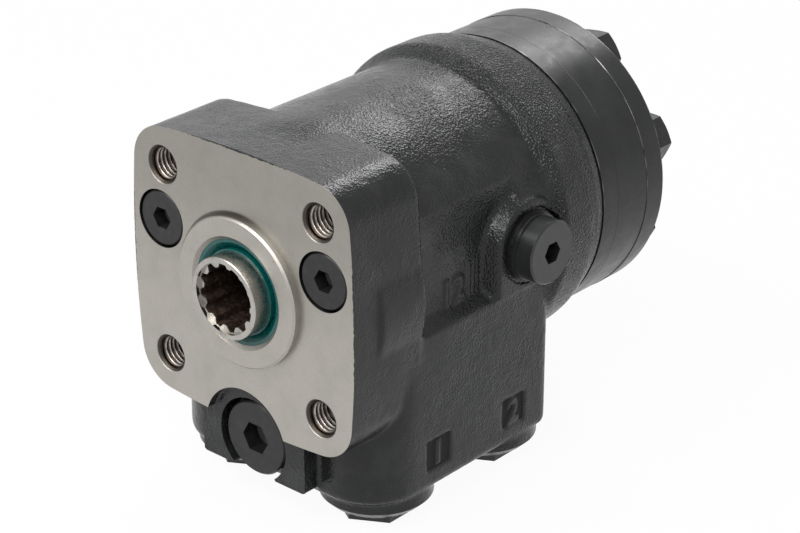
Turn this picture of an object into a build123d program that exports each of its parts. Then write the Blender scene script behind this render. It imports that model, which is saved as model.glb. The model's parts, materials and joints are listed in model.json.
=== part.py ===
from build123d import *
import math
import os

# Orbital steering unit, in millimetres. The mounting face is the plane y = 0 and faces -Y,
# the shaft axis is the Y axis, and the ports open downwards, towards -Z.

# Clearances
running = 0.03             # radial, between pieces that turn on each other
slip = 0.02                # radial, between a screwed or pressed piece and its hole
contact = 0.02             # between a valve ball or cone and its seat
free = 0.3                 # between pieces that pass each other

# Mounting face
column_circle = 82.55
column_hole_r = 5.0
column_hole_depth = 20.0
column_mouth_r = 5.8
pilot_r = 22.2
pilot_height = 2.4
pilot_chamfer = 0.6

# Housing casting
flange_half = 41.8         # shaft axis to the middle of a bowed side
flange_corner = 39.4       # shaft axis to where two sides would meet
flange_corner_r = 12.0
flange_depth = 28.0
flange_rear_r = 1.2
barrel_r = 43.0
barrel_start = 10.0
pocket_x = 37.0            # floor of the pocket in the barrel's +X side
pocket_end = 70.0
pocket_foot_z = -8.5       # where the floor meets the sloping ledge on the port block
pocket_edge_z = -11.8      # where that ledge meets the block's side
housing_length = 105.3
rear_flange_length = 24.7
shoulder_run = 5.0
shoulder_r = 46.5
taper_length = 7.8
rim_r = 43.6
inner_fillet_r = 3.5
outer_fillet_r = 2.0
taper_fillet_r = 10.0

# Port block under the barrel
block_half = 41.2
block_front = 9.0
block_rear_inset = 19.8    # from the rear face, as for the rear ports
block_bottom = -61.0
block_front_r = 17.0
block_rear_r = 4.0
block_edge_r = 2.5
port_x = 24.2
port_front_y = 28.0
port_rear_inset = 30.8
port_boss_r = 16.5
port_boss_z = -66.5
port_boss_chamfer = 2.2
port_hole_r = 10.2
port_hole_top = -48.0
duct_r = 3.5
duct_top = -3.0
duct_offset = 5.5          # the ducts of a port pair meet the bore apart from each other
bore_groove_r = 22.5
bore_groove_width = 5.0

# Relief valve, in the notch under the flange
relief_z = -47.7
relief_boss_half = 19.8
relief_boss_front = 3.0
relief_boss_bottom = -58.2
relief_notch_r = 15.5
relief_notch_z = -46.3
relief_counterbore_r = 12.7
relief_head_r = 11.3
relief_head_y = 4.0
relief_head_seat = 9.0
relief_head_chamfer = 0.5
relief_thread_r = 9.5
relief_thread_end = 18.0
relief_chamber_r = 7.0
relief_seat_y = 34.0
relief_seat_length = 5.0
relief_seat_bore_r = 2.5
relief_cone_r = 4.0
relief_cone_tip_r = 0.5
relief_stem_r = 2.0
relief_disc_r = 5.5
relief_disc_y = 29.0
relief_disc_thickness = 2.0
relief_pocket_r = 6.0
relief_pocket_y = 12.0
relief_spring_r = 4.2
relief_wire_r = 0.8
relief_turns = 5
relief_socket = 8.6        # hexagon socket, across flats
relief_socket_depth = 5.0
relief_duct_r = 3.2
relief_duct_y = 44.0

# Shock valves, one each side of the mounting face
shock_x = 30.7
shock_z = 12.5
shock_head_r = 8.25
shock_counterbore_r = 8.7
shock_head_y = 0.3
shock_head_seat = 6.0
shock_thread_r = 7.0
shock_thread_end = 16.0
shock_chamber_r = 4.6
shock_seat_y = 34.0
shock_seat_bore_r = 2.0
shock_duct_r = 2.6
shock_duct_y = 42.0
shock_ball_r = 3.0
shock_pocket_r = 3.6
shock_pocket_y = 11.0
shock_spring_r = 2.5
shock_wire_r = 0.5
shock_turns = 6
shock_socket = 6.0
shock_socket_depth = 4.0
plug_seal_thickness = 1.0

# Load-sensing port on the +X side
sense_inset = 31.7         # from the rear face
sense_z = 1.0
sense_boss_height = 5.3    # above the pocket's floor
sense_boss_root = 1.5
sense_face_r = 13.7
sense_foot_r = 16.8
sense_floor = 12.8         # from the port's axis down to the boss's flat floor
sense_foot_floor = 13.8
sense_edge = 0.6
sense_spot_r = 11.6
sense_spot_depth = 0.6
sense_thread_r = 6.5
sense_thread_length = 13.0
sense_drill_r = 2.0
sense_washer_r = 10.4
sense_washer_thickness = 1.6
sense_collar_r = 10.0
sense_collar_height = 1.2
sense_head_r = 9.5
sense_head_height = 5.5
sense_head_chamfer = 0.5
sense_socket = 6.0
sense_socket_depth = 4.0

# Recessed marking panels on the +X side: y, z, length and height of each
panel_depth = 0.7          # below the port block's side
panels = [(35.5, -50.0, 10.4, 10.0), (68.7, -50.4, 10.4, 10.0)]

# Port plugs
plug_af = 20.6
plug_head_height = 3.5
plug_thread_length = 12.0
plug_dimple_r = 6.5
plug_dimple_depth = 1.2
plug_core_r = 7.0
plug_core_depth = 9.0

# Seals and the thrust bearing, from the front
dust_seal_width = 3.5
seal_seat_depth = 2.0
seal_seat_chamfer = 1.1
dust_seal_front = -1.2
land_gap = 0.6
shaft_seal_y = 3.5
shaft_seal_width = 3.5
shaft_seal_r = 15.5
bearing_y = 9.0
race_thickness = 1.0
race_r = 18.6
race_bore_r = 13.0
needle_r = 0.98
needle_length = 4.0
needle_gap = 0.02
needle_count = 18
cage_thickness = 1.3
cage_margin = 0.2

# Spool and sleeve
neck_r = 12.0
spool_tip_y = -6.8
spool_shoulder_gap = 1.0
spool_rear_gap = 2.5
sleeve_r = 19.0
sleeve_bore_r = 14.0
sleeve_rear_gap = 0.5
input_teeth = 12
input_pitch_r = 9.525
input_major_r = 10.3
input_minor_r = 8.75
input_depth_y = 12.5
input_mouth_r = 10.5
input_mouth_depth = 1.3
spool_cavity_r = 10.2
spool_cavity_y = 29.0
spool_groove_depth = 0.8
spool_groove_width = 4.0
spool_grooves_y = [50.0, 62.0, 92.0]
spool_slot_width = 3.0
spool_slot_depth = 1.4
spool_slot_y = 68.0
spool_slot_length = 18.0
spool_slots = 6
sleeve_hole_r = 1.3
sleeve_holes = 6
sleeve_rows_y = [50.0, 62.0, 74.5, 92.0]

# Centring springs
leaf_y = 18.0
leaf_width = 6.4
leaf_half_length = 18.1
flat_leaf_thickness = 0.5
bowed_leaf_thickness = 0.4
leaf_rise = 0.7
leaf_gap = 0.02
leaf_slot_margin = 0.1
retainer_width = 5.0
retainer_thickness = 0.57

# Cross pin and cardan shaft
pin_y = 38.0
pin_r = 3.0
pin_margin = 0.1           # from the pin's ends to the sleeve's outer face
spool_travel = 8.0         # degrees each way in the sleeve
fork_r = 8.5
fork_reach = 6.5           # ahead of the pin
fork_length = 16.0
fork_slot_end = 7.5
fork_gap = 0.15
cardan_r = 6.3
crown_depth = 5.2          # from the ring's front face
crown_half = 4.0
crown_teeth = 12
crown_pitch_r = 8.4
crown_major_r = 9.2
crown_minor_r = 7.6
crown_gap = 0.25
spacer_gap = 0.1

# Gear set
ring_r = 44.0
plate_thickness = 7.0
ring_thickness = 14.0
cover_thickness = 8.1
cover_r = 44.2
cover_chamfer = 0.5
edge_chamfer = 0.15
ring_lobes = 7
lobe_circle_r = 33.5
lobe_r = 6.8
eccentricity = 3.0
gerotor_gap = 0.05
rotor_end_gap = 0.03
profile_points = 168
plate_bore_r = 11.0
metering_r = 2.2
metering_circle_r = 29.6
metering_depth = 10.0
metering_drill_r = 1.8
metering_drill_back = 8.0

# Cover bolts, one through each lobe of the ring
first_bolt_angle = 21.5    # from +Z towards +X
bolt_r = 4.0
bolt_hole_gap = 0.3
bolt_head_af = 15.0
bolt_head_height = 7.1
bolt_head_dome = 1.2
bolt_head_turn = 54.0
bolt_head_turn_step = 64.0
bolt_depth = 20.3          # reach into the housing
bolt_washer_r = 8.2
bolt_washer_thickness = 1.6

# O-rings between the plates
o_ring_circle_r = 40.5
o_ring_r = 0.74
o_ring_groove_half = 1.1
o_ring_groove_depth = 1.5

# Suction valves, in the two upper bolt holes
suction_bolts = [0, 6]
suction_ball_r = 3.6
suction_chamber = 13.0     # from the seat to the bolt's end
suction_seat_r = 2.2
suction_drill_depth = 10.0
suction_pin_r = 1.5
suction_travel = 2.0
suction_duct_r = 1.9
suction_duct_depth = 6.0

# Inlet check valve, over the front left port
check_bush_r = 6.5
check_bush_bore_r = 3.2
check_bush_bottom = -47.0
check_bush_top = -43.0
check_ball_r = 4.4
check_chamber_r = 5.0
check_chamber_top = -32.0

# Places that follow from the sizes above
shoulder_y = housing_length - rear_flange_length
seal_seat_r = neck_r + dust_seal_width
block_rear = housing_length - block_rear_inset
port_rear_y = housing_length - port_rear_inset
sense_y = housing_length - sense_inset
sense_face_x = pocket_x + sense_boss_height
sense_foot_x = pocket_x - sense_boss_root
sense_thread_x = sense_face_x - sense_thread_length
bolt_end_y = housing_length - bolt_depth
suction_seat_y = bolt_end_y - suction_chamber
plate_y = housing_length
ring_y = plate_y + plate_thickness
cover_y = ring_y + ring_thickness
crown_y = ring_y + crown_depth
cover_end = cover_y + cover_thickness
cage_y = bearing_y + race_thickness
rear_race_y = cage_y + 2 * (needle_r + needle_gap)
sleeve_front = rear_race_y + race_thickness
sleeve_rear = housing_length - sleeve_rear_gap
spool_shoulder = sleeve_front + spool_shoulder_gap
spool_rear = housing_length - spool_rear_gap
spool_r = sleeve_bore_r - running
main_bore_r = sleeve_r + running
column_half = column_circle / 2 / math.sqrt(2)
lobe_step = 360 / ring_lobes
rotor_lobes = ring_lobes - 1
past = 1.0                 # how far a cutting tool runs past a face
drill_flat_r = 0.5         # the blunt end of a drill


def along_y(sketch, y0, y1):
    """A sketch drawn in X and Z, made solid from y0 to y1."""
    plane = Plane(origin=(0, y1, 0), x_dir=(1, 0, 0), z_dir=(0, -1, 0))
    return extrude(plane * sketch, amount=y1 - y0)


def along_x(sketch, x0, x1):
    """A sketch drawn in Y and Z, made solid from x0 to x1."""
    plane = Plane(origin=(x0, 0, 0), x_dir=(0, 1, 0), z_dir=(1, 0, 0))
    return extrude(plane * sketch, amount=x1 - x0)


def along_z(sketch, z0, z1):
    """A sketch drawn in X and Y, made solid from z0 to z1."""
    return extrude(Plane.XY.offset(z0) * sketch, amount=z1 - z0)


def disc(r, y0, y1, x=0.0, z=0.0):
    return along_y(Pos(x, z) * Circle(r), y0, y1)


def ring(r_out, r_in, y0, y1, x=0.0, z=0.0):
    return along_y(Pos(x, z) * (Circle(r_out) - Circle(r_in)), y0, y1)


def cone(r0, r1, y0, y1, x=0.0, z=0.0):
    """A cone about a line along Y, of radius r0 at y0 and r1 at y1."""
    corners = [(0, y0), (0, y1)] + [(r, y) for r, y in ((r1, y1), (r0, y0)) if r > 0]
    return Pos(x, 0, z) * revolve(make_face(Polyline(*corners, close=True)), axis=Axis.Y)


def drill_point(r, y, x, z):
    """The blunt cone that a drill of radius r leaves behind y."""
    return cone(r, drill_flat_r, y, y + (r - drill_flat_r) / 2, x, z)


def on_circle(r, degrees):
    """X and Z of a point about the shaft axis, its angle counted from +Z towards +X."""
    angle = math.radians(degrees)
    return r * math.sin(angle), r * math.cos(angle)


def lobe_angle(index):
    return first_bolt_angle + index * lobe_step


def turned(shape, degrees):
    """The shape turned about the shaft axis, from +Z towards +X."""
    return Rot(0, degrees, 0) * shape


def hexagon(across_flats, turn=0.0):
    return RegularPolygon(radius=across_flats / 2, side_count=6, major_radius=False, rotation=turn)


def front_edges(shape):
    return shape.edges().group_by(Axis.Y)[0]


def coil_spring(coil_r, wire_r, y0, y1, turns, x, z):
    """A coil spring along Y between two faces."""
    height = y1 - y0 - 2 * wire_r
    helix = Helix(pitch=height / turns, height=height, radius=coil_r)
    section = Plane(origin=helix @ 0, z_dir=helix % 0) * Circle(wire_r)
    spring = sweep(section, path=helix)
    return Pos(x, y0 + wire_r, z) * (Rot(-90, 0, 0) * spring)


def spline_outline(teeth, pitch_r, major_r, minor_r, gap=0.0):
    """An external spline with straight flanks at 30 degrees, grown all round by a gap."""
    half_at_pitch = math.pi * pitch_r / teeth / 2
    points = []
    for tooth in range(teeth):
        for r, side in ((minor_r, -1), (major_r, -1), (major_r, 1), (minor_r, 1)):
            half = half_at_pitch - (r - pitch_r) * math.tan(math.radians(30)) + gap
            angle = math.radians(tooth * 360 / teeth) + side * math.asin(half / r)
            points.append(((r + gap) * math.cos(angle), (r + gap) * math.sin(angle)))
    return make_face(Polyline(*points, close=True))


def flange_outline():
    """A square with bowed sides and round corners."""
    c, h = flange_corner, flange_half
    sides = [
        ThreePointArc((-c, c), (0, h), (c, c)),
        ThreePointArc((c, c), (h, 0), (c, -c)),
        ThreePointArc((c, -c), (0, -h), (-c, -c)),
        ThreePointArc((-c, -c), (-h, 0), (-c, c)),
    ]
    face = make_face(sides)
    return fillet(face.vertices(), flange_corner_r)


def barrel():
    """The barrel, its shoulder and the tapered rear flange, turned about the shaft axis."""
    outline = FilletPolyline(
        (barrel_r, barrel_start), (barrel_r, shoulder_y), (shoulder_r, shoulder_y + shoulder_run),
        (shoulder_r, housing_length - taper_length), (rim_r, housing_length),
        radius=[inner_fillet_r, outer_fillet_r, taper_fillet_r],
    )
    inside = Polyline((rim_r, housing_length), (0, housing_length), (0, barrel_start),
                      (barrel_r, barrel_start))
    return revolve(make_face([outline, inside]), axis=Axis.Y)


def side_pocket():
    """The hollow in the +X side, from the flange to the load-sensing boss."""
    out = shoulder_r + past
    slope = (pocket_foot_z - pocket_edge_z) / (block_half - pocket_x)
    corners = [(pocket_x, barrel_r), (pocket_x, pocket_foot_z),
               (out, pocket_foot_z - slope * (out - pocket_x)), (out, barrel_r)]
    return along_y(make_face(Polyline(*corners, close=True)), flange_depth, pocket_end)


def port_block():
    """The block under the barrel, wide at the back and rounded at the front."""
    length = block_rear - block_front
    base = Pos(0, block_front + length / 2) * Rectangle(2 * block_half, length)
    front = base.vertices().group_by(Axis.Y)[0]
    base = fillet(front, block_front_r)
    rear = base.vertices().group_by(Axis.Y)[-1]
    base = fillet(rear, block_rear_r)
    block = along_z(base, block_bottom, 0)
    return fillet(block.edges().group_by(Axis.Z)[0], block_edge_r)


def port_places():
    return [(x, y) for y in (port_front_y, port_rear_y) for x in (-port_x, port_x)]


def port_boss(x, y):
    boss = along_z(Pos(x, y) * Circle(port_boss_r), port_boss_z, port_hole_top)
    return chamfer(boss.edges().group_by(Axis.Z)[0], port_boss_chamfer)


def relief_boss():
    top = relief_z
    height = top - relief_boss_bottom
    outline = Pos(0, relief_boss_bottom + height / 2) * Rectangle(2 * relief_boss_half, height)
    boss = along_y(outline, relief_boss_front, block_front + block_front_r)
    web = along_y(Pos(0, top / 2) * Rectangle(2 * relief_boss_half, -top),
                  relief_boss_front, block_front + block_front_r)
    return boss + web


def sense_profile(r, floor):
    """Round above and square below, about the load-sensing port's axis."""
    arch = Pos(sense_y, sense_z) * Circle(r)
    below = Pos(sense_y, sense_z - floor / 2) * Rectangle(2 * r, floor)
    crop = Pos(sense_y, sense_z + r / 2 - floor / 2) * Rectangle(2 * r, r + floor)
    return (arch + below) & crop


def sense_boss():
    """The boss of the load-sensing port, flaring down to the barrel."""
    toe = Plane(origin=(sense_foot_x, 0, 0), x_dir=(0, 1, 0), z_dir=(1, 0, 0))
    face = Plane(origin=(sense_face_x, 0, 0), x_dir=(0, 1, 0), z_dir=(1, 0, 0))
    flare = loft([toe * sense_profile(sense_foot_r, sense_foot_floor),
                  face * sense_profile(sense_face_r, sense_floor)], ruled=True)
    flare = chamfer(flare.edges().group_by(Axis.X)[-1], sense_edge)
    core = along_x(sense_profile(sense_foot_r, sense_foot_floor), sense_drill_x(), sense_foot_x)
    return flare + core


def sense_drill_x():
    """Where the load-sensing drilling starts: inside the main bore's wall."""
    return main_bore_r + 2 * past


def shaft_bores():
    """The stepped bore for the seals, the bearing and the sleeve, with its ring grooves."""
    land_r = neck_r + land_gap
    cut = disc(seal_seat_r, -pilot_height - past, seal_seat_depth)
    cut += cone(seal_seat_r + seal_seat_chamfer, seal_seat_r,
                -pilot_height, -pilot_height + seal_seat_chamfer)
    cut += disc(land_r, seal_seat_depth, bearing_y)
    cut += disc(shaft_seal_r, shaft_seal_y, shaft_seal_y + shaft_seal_width)
    cut += disc(main_bore_r, bearing_y, housing_length + past)
    for y in duct_stations():
        cut += disc(bore_groove_r, y - bore_groove_width / 2, y + bore_groove_width / 2)
    return cut


def duct_stations():
    """Where the four port ducts meet the main bore, port by port."""
    return [port_front_y - duct_offset, port_front_y + duct_offset,
            port_rear_y - duct_offset, port_rear_y + duct_offset]


def port_bores():
    cut = None
    for (x, y), duct_y in zip(port_places(), duct_stations()):
        hole = along_z(Pos(x, y) * Circle(port_hole_r), port_boss_z - past, port_hole_top)
        duct = along_z(Pos(x, duct_y) * Circle(duct_r), port_hole_top - past, duct_top)
        cut = hole + duct if cut is None else cut + hole + duct
    return cut + check_bores()


def check_bores():
    x, y = port_places()[0]
    seat = along_z(Pos(x, y) * Circle(check_bush_r + slip), port_hole_top - past, check_bush_top)
    chamber = along_z(Pos(x, y) * Circle(check_chamber_r), check_bush_top - past,
                      check_chamber_top)
    return seat + chamber


def column_bores():
    cut = None
    for x in (-column_half, column_half):
        for z in (-column_half, column_half):
            hole = disc(column_hole_r, -past, column_hole_depth, x, z)
            hole += drill_point(column_hole_r, column_hole_depth, x, z)
            hole += cone(column_mouth_r, column_hole_r, 0, column_mouth_r - column_hole_r, x, z)
            cut = hole if cut is None else cut + hole
    return cut


def relief_bores():
    seat_end = relief_seat_y + relief_seat_length
    cut = disc(relief_notch_r, -past, relief_boss_front, 0, relief_notch_z)
    cut += disc(relief_counterbore_r, relief_boss_front - past, relief_head_seat, 0, relief_z)
    cut += disc(relief_thread_r + slip, relief_head_seat - past, relief_thread_end, 0, relief_z)
    cut += disc(relief_chamber_r + slip, relief_thread_end - past, seat_end, 0, relief_z)
    cut += disc(relief_seat_bore_r, seat_end - past, relief_duct_y, 0, relief_z)
    duct = Pos(0, relief_duct_y) * Circle(relief_duct_r)
    return cut + along_z(duct, relief_z - relief_duct_r, -sleeve_r)


def shock_bores(side):
    x = side * shock_x
    cut = disc(shock_counterbore_r, -past, shock_head_seat, x, shock_z)
    cut += disc(shock_thread_r + slip, shock_head_seat - past, shock_thread_end, x, shock_z)
    cut += disc(shock_chamber_r, shock_thread_end - past, shock_seat_y, x, shock_z)
    cut += disc(shock_seat_bore_r, shock_seat_y - past, shock_duct_y, x, shock_z)
    reach = math.hypot(shock_x, shock_z) + shock_duct_r
    duct = along_z(Pos(0, shock_duct_y) * Circle(shock_duct_r), sleeve_r, reach)
    return cut + turned(duct, math.degrees(math.atan2(x, shock_z)))


def sense_bores():
    at_axis = Pos(sense_y, sense_z)
    cut = along_x(at_axis * Circle(sense_spot_r), sense_seat_x(), shoulder_r + past)
    cut += along_x(at_axis * Circle(sense_thread_r + slip), sense_thread_x, sense_face_x)
    cut += along_x(at_axis * Circle(sense_drill_r), sleeve_r, sense_thread_x + past)
    return cut


def sense_seat_x():
    return sense_face_x - sense_spot_depth


def panel_cuts():
    cut = None
    for y, z, length, height in panels:
        recess = along_x(Pos(y, z) * Rectangle(length, height), block_half - panel_depth,
                         barrel_r + past)
        cut = recess if cut is None else cut + recess
    return cut


def rear_bores():
    """Bolt holes, suction valves, metering ducts and the O-ring groove in the rear face."""
    cut = o_ring_groove(housing_length - o_ring_groove_depth, housing_length + past)
    for index in range(ring_lobes):
        x, z = on_circle(lobe_circle_r, lobe_angle(index))
        cut += disc(bolt_r + slip, bolt_end_y, housing_length + past, x, z)
        x, z = on_circle(metering_circle_r, lobe_angle(index + 0.5))
        cut += disc(metering_r, housing_length - metering_depth, housing_length + past, x, z)
        drill = along_z(Pos(0, housing_length - metering_drill_back) * Circle(metering_drill_r),
                        sleeve_r, metering_circle_r)
        cut += turned(drill, lobe_angle(index + 0.5))
    for index in suction_bolts:
        x, z = on_circle(lobe_circle_r, lobe_angle(index))
        cut += disc(bolt_r + slip, suction_seat_y, bolt_end_y + past, x, z)
        cut += disc(suction_seat_r, suction_seat_y - suction_drill_depth, suction_seat_y + past,
                    x, z)
        duct_y = suction_seat_y - suction_duct_depth
        duct = along_z(Pos(0, duct_y) * Circle(suction_duct_r), sleeve_r, lobe_circle_r)
        cut += turned(duct, lobe_angle(index))
    return cut


def housing():
    """The casting with everything that is machined into it."""
    flange = along_y(flange_outline(), 0, flange_depth)
    flange = fillet(flange.edges().group_by(Axis.Y)[-1], flange_rear_r)
    pilot = disc(pilot_r, -pilot_height, past)
    pilot = chamfer(front_edges(pilot), pilot_chamfer)
    body = barrel() + port_block() - side_pocket()
    body += flange + relief_boss() + sense_boss() + pilot
    for x, y in port_places():
        body += port_boss(x, y)
    for cut in (shaft_bores(), port_bores(), column_bores(), relief_bores(), shock_bores(-1),
                shock_bores(1), sense_bores(), panel_cuts(), rear_bores()):
        body -= cut
    return body


def dust_seal():
    """The wiper ring in the mouth of the bore, hollowed in front towards its lip."""
    r_in = neck_r + running
    seal = ring(seal_seat_r, r_in, dust_seal_front, seal_seat_depth)
    depth = (seal_seat_depth - dust_seal_front) / 2
    hollow = cone(seal_seat_r - past, r_in + past / 2, dust_seal_front, dust_seal_front + depth)
    return seal - (hollow - disc(r_in + past / 2, dust_seal_front, dust_seal_front + depth))


def shaft_seal():
    return ring(shaft_seal_r, neck_r + running, shaft_seal_y, shaft_seal_y + shaft_seal_width)


def thrust_race(y):
    return ring(race_r, race_bore_r, y, y + race_thickness)


def needle_places():
    """Middle radius and height of the needles."""
    return (race_r + race_bore_r) / 2, cage_y + needle_r + needle_gap


def thrust_needles():
    middle_r, y = needle_places()
    needle = along_z(Pos(0, y) * Circle(needle_r), middle_r - needle_length / 2,
                     middle_r + needle_length / 2)
    return Compound(children=[turned(needle, k * 360 / needle_count) for k in range(needle_count)])


def thrust_cage():
    middle_r, y = needle_places()
    cage = ring(race_r - cage_margin, race_bore_r + cage_margin, y - cage_thickness / 2,
                y + cage_thickness / 2)
    width = 2 * (needle_r + cage_margin / 2)
    length = needle_length + cage_margin
    pocket = along_y(Pos(0, middle_r) * Rectangle(width, length), cage_y, rear_race_y)
    for k in range(needle_count):
        cage -= turned(pocket, k * 360 / needle_count)
    return cage


def leaf_slot_half():
    """Half the height of the slots that hold the pack of leaf springs."""
    pack = flat_leaf_thickness + 2 * (bowed_leaf_thickness + leaf_gap)
    return pack + leaf_rise + leaf_slot_margin


def leaf_slot():
    return along_y(Rectangle(4 * sleeve_r, 2 * leaf_slot_half()), leaf_y - free,
                   leaf_y + leaf_width + free)


def bowed_leaf(middle_z, side):
    """One curved leaf. Its ends rise away from the flat leaves."""
    h, rise, t = leaf_half_length, leaf_rise, bowed_leaf_thickness
    inner = ThreePointArc((-h, middle_z + rise), (0, middle_z), (h, middle_z + rise))
    outer = ThreePointArc((-h, middle_z + rise + t), (0, middle_z + t), (h, middle_z + rise + t))
    ends = [Line((s * h, middle_z + rise), (s * h, middle_z + rise + t)) for s in (-1, 1)]
    leaf = along_y(make_face([inner, outer] + ends), leaf_y, leaf_y + leaf_width)
    return leaf if side > 0 else mirror(leaf, Plane.XY)


def centering_springs():
    leaves = []
    for side in (-1, 1):
        flat = Rectangle(2 * leaf_half_length, flat_leaf_thickness - leaf_gap)
        flat = Pos(0, side * flat_leaf_thickness / 2) * flat
        leaves.append(along_y(flat, leaf_y, leaf_y + leaf_width))
        for k in range(2):
            middle_z = flat_leaf_thickness + leaf_gap + k * (bowed_leaf_thickness + leaf_gap)
            leaves.append(bowed_leaf(middle_z, side))
    return in_phase(Compound(children=leaves))


def retainer_span():
    middle = leaf_y + leaf_width / 2
    return middle - retainer_width / 2, middle + retainer_width / 2


def spring_retainer():
    y0, y1 = retainer_span()
    return ring(sleeve_r - running, sleeve_r - running - retainer_thickness, y0, y1)


def in_phase(shape):
    """Turns a piece built with the cross pin along X, so that the pin points at a lobe."""
    return turned(shape, first_bolt_angle - 90)


def spool():
    body = disc(neck_r, spool_tip_y, spool_shoulder + past)
    body = chamfer(front_edges(body), past / 4)
    body += disc(spool_r, spool_shoulder, spool_rear)
    body -= along_y(spline_outline(input_teeth, input_pitch_r, input_major_r, input_minor_r),
                    spool_tip_y - past, input_depth_y)
    body -= disc(input_mouth_r, spool_tip_y - past, spool_tip_y + input_mouth_depth)
    body -= disc(spool_cavity_r, spool_cavity_y, spool_rear + past)
    body -= leaf_slot()
    sweep_z = spool_r * math.sin(math.radians(spool_travel)) + pin_r + free
    body -= along_y(Rectangle(4 * spool_r, 2 * sweep_z), pin_y - pin_r - free,
                    pin_y + pin_r + free)
    for y in spool_grooves_y:
        body -= ring(spool_r + past, spool_r - spool_groove_depth, y - spool_groove_width / 2,
                     y + spool_groove_width / 2)
    slot = along_y(Pos(0, spool_r) * Rectangle(spool_slot_width, 2 * spool_slot_depth),
                   spool_slot_y, spool_slot_y + spool_slot_length)
    for k in range(spool_slots):
        body -= turned(slot, (k + 0.5) * 360 / spool_slots)
    return in_phase(body)


def sleeve():
    y0, y1 = retainer_span()
    body = ring(sleeve_r, sleeve_bore_r, sleeve_front, sleeve_rear)
    body -= ring(sleeve_r + past, sleeve_r - running - retainer_thickness, y0, y1)
    body -= leaf_slot()
    body -= along_x(Pos(pin_y, 0) * Circle(pin_r + slip), -2 * sleeve_r, 2 * sleeve_r)
    for row, y in enumerate(sleeve_rows_y):
        hole = along_z(Pos(0, y) * Circle(sleeve_hole_r), sleeve_bore_r - past, sleeve_r + past)
        for k in range(sleeve_holes):
            body -= turned(hole, (k + row / 2) * 360 / sleeve_holes)
    return in_phase(body)


def cross_pin():
    half = math.sqrt(sleeve_r ** 2 - pin_r ** 2) - pin_margin
    return in_phase(along_x(Pos(pin_y, 0) * Circle(pin_r), -half, half))


def cardan_tilt():
    """Lean of the cardan shaft, from the cross pin to the rotor's centre, in degrees."""
    return math.degrees(math.atan2(eccentricity, crown_y - pin_y))


def cardan_shaft():
    """Fork, shank and crown spline, leaning from the shaft axis to the rotor's centre."""
    crown = pin_y + math.hypot(crown_y - pin_y, eccentricity)
    fork_start = pin_y - fork_reach
    body = disc(fork_r, fork_start, fork_start + fork_length)
    body = chamfer(body.edges().group_by(Axis.Y)[0] + body.edges().group_by(Axis.Y)[-1], past)
    body -= along_y(Rectangle(4 * fork_r, 2 * (pin_r + fork_gap)), fork_start - past,
                    pin_y + fork_slot_end)
    body += disc(cardan_r, fork_start + fork_length - past, crown)
    teeth = spline_outline(crown_teeth, crown_pitch_r, crown_major_r, crown_minor_r)
    body += along_y(teeth, crown - crown_half, crown + crown_half)
    leaning = Pos(0, pin_y, 0) * (Rot(0, 0, -cardan_tilt()) * (Pos(0, -pin_y, 0) * body))
    return in_phase(leaning)


def on_rotor(shape):
    """Moves a piece from the shaft axis to the rotor's centre."""
    x, z = on_circle(eccentricity, first_bolt_angle)
    return Pos(x, 0, z) * shape


def cardan_spacer():
    y0 = crown_y + crown_half + free
    return on_rotor(disc(crown_minor_r - spacer_gap, y0, cover_y - spacer_gap))


def rotor_outline():
    """The curve that stays in touch with all the ring's round lobes as the rotor orbits."""
    r = lobe_r + gerotor_gap
    points = []
    for k in range(profile_points):
        t = 2 * math.pi * k / profile_points
        lean = math.atan2(math.sin(-rotor_lobes * t),
                          lobe_circle_r / (eccentricity * ring_lobes) - math.cos(rotor_lobes * t))
        u = lobe_circle_r * math.cos(t) - r * math.cos(t + lean)
        v = lobe_circle_r * math.sin(t) - r * math.sin(t + lean)
        points.append((u - eccentricity * math.cos(ring_lobes * t),
                       v - eccentricity * math.sin(ring_lobes * t)))
    return make_face(Spline(*points, periodic=True))


def rotor():
    teeth = spline_outline(crown_teeth, crown_pitch_r, crown_major_r, crown_minor_r, crown_gap)
    body = along_y(rotor_outline() - teeth, ring_y + rotor_end_gap, cover_y - rotor_end_gap)
    return on_rotor(in_phase(body))


def gear_ring():
    """The ring round the rotor. Its lobes are round and each holds a bolt hole."""
    opening = Circle(lobe_circle_r - lobe_r + 2 * eccentricity + gerotor_gap)
    holes = []
    for index in range(ring_lobes):
        place = Pos(*on_circle(lobe_circle_r, lobe_angle(index)))
        opening -= place * Circle(lobe_r)
        holes.append(place * Circle(bolt_r + bolt_hole_gap))
    outline = Circle(ring_r) - opening
    for hole in holes:
        outline -= hole
    return edged(along_y(outline, ring_y, cover_y), ring_r)


def edged(shape, r):
    """The shape with its outer rim's edges lightly chamfered."""
    rims = [edge for edge in shape.edges().filter_by(GeomType.CIRCLE)
            if abs(edge.radius - r) < running]
    return chamfer(rims, edge_chamfer)


def distributor_plate():
    outline = Circle(ring_r) - Circle(plate_bore_r)
    for index in range(ring_lobes):
        outline -= Pos(*on_circle(lobe_circle_r, lobe_angle(index))) * Circle(bolt_r + bolt_hole_gap)
        outline -= Pos(*on_circle(metering_circle_r, lobe_angle(index + 0.5))) * Circle(metering_r)
    body = along_y(outline, plate_y, ring_y)
    return body - o_ring_groove(ring_y - o_ring_groove_depth, ring_y + past)


def end_cover():
    body = disc(cover_r, cover_y, cover_end)
    body = chamfer(body.edges().group_by(Axis.Y)[-1], cover_chamfer)
    body = chamfer(front_edges(body), edge_chamfer)
    for index in range(ring_lobes):
        x, z = on_circle(lobe_circle_r, lobe_angle(index))
        body -= disc(bolt_r + bolt_hole_gap, cover_y - past, cover_end + past, x, z)
    return body - o_ring_groove(cover_y - past, cover_y + o_ring_groove_depth)


def o_ring_groove(y0, y1):
    return ring(o_ring_circle_r + o_ring_groove_half, o_ring_circle_r - o_ring_groove_half, y0, y1)


def o_ring(y):
    """An O-ring whose middle plane is at y."""
    section = Pos(o_ring_circle_r, y) * Circle(o_ring_r)
    return revolve(section, axis=Axis.Y)


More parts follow.
